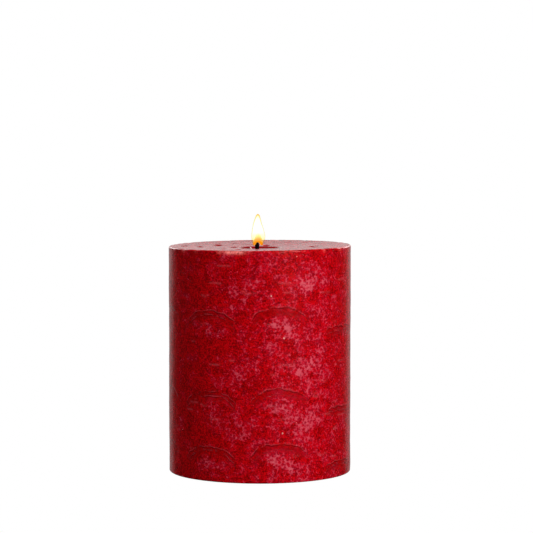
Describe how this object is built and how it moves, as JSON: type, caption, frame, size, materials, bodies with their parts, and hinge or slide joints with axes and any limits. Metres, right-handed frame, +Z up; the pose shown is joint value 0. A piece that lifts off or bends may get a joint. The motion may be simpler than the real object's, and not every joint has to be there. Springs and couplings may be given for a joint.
{
  "type": "flameless pillar candle",
  "caption": "Round deep red wax pillar with a shallow dished top, a short black wick and a lit teardrop flame, over a battery base with a door and a slide switch.",
  "frame": {"origin": "centre of the flat wax rim that the candle stands on", "axes": "+Z up along the candle, -Y is the front, with the slide switch under the front edge"},
  "size_m": [0.1016, 0.1016, 0.1443],
  "materials": {
    "wax": "deep red mottled paraffin wax, satin",
    "wick": "black, matt",
    "flame": "translucent soft flame, lit from inside",
    "guide": "clear amber",
    "housing": "black moulded, fine texture",
    "inner_plastic": "natural white moulded",
    "cell": "dark printed jacket on a metal can",
    "contact": "nickel plated",
    "screw": "zinc plated",
    "board": "green solder mask",
    "chip": "black epoxy",
    "capacitor": "dark sleeve",
    "resistor": "tan lacquer",
    "led": "yellow phosphor",
    "wire_red": "red insulation",
    "wire_black": "black insulation",
    "wire_yellow": "yellow insulation"
  },
  "bodies": {
    "candle": {"wax_shell": "wax", "wick_tube": "wick", "flame_lens": "flame", "light_guide": "guide", "base_housing": "housing", "switch_body": "contact", "core_cover": "inner_plastic", "lamp_column": "inner_plastic", "wick_bush": "inner_plastic", "lamp_plug": "inner_plastic", "battery_1": "cell", "battery_2": "cell", "positive_contact": "contact", "negative_contact": "contact", "bridge_contact": "contact", "negative_spring": "contact", "bridge_spring": "contact", "case_screw_1": "screw", "case_screw_2": "screw", "case_screw_3": "screw", "case_screw_4": "screw", "column_screw_1": "screw", "column_screw_2": "screw", "column_screw_3": "screw", "board_screw_1": "screw", "board_screw_2": "screw", "switch_screw_1": "screw", "switch_screw_2": "screw", "circuit_board": "board", "lamp_board": "board", "controller_chip": "chip", "capacitor": "capacitor", "resistor": "resistor", "led_chip": "led", "battery_wire_positive": "wire_red", "battery_wire_negative": "wire_black", "switch_wire_common": "wire_red", "switch_wire_on": "wire_yellow", "switch_wire_timer": "wire_black", "lamp_wire_positive": "wire_red", "lamp_wire_negative": "wire_black"},
    "battery_door": {"battery_door": "housing"},
    "switch_slider": {"switch_slider": "inner_plastic"}
  },
  "joints": [
    {"name": "battery_door_hinge", "type": "hinge", "parent": "candle", "child": "battery_door", "pos_m": [0, -0.0257, 0.0028], "axis": [-1, 0, 0], "range_deg": [0, 100]},
    {"name": "switch_slide", "type": "slide", "parent": "candle", "child": "switch_slider", "axis": [1, 0, 0], "range_m": [-0.002, 0.002]}
  ]
}
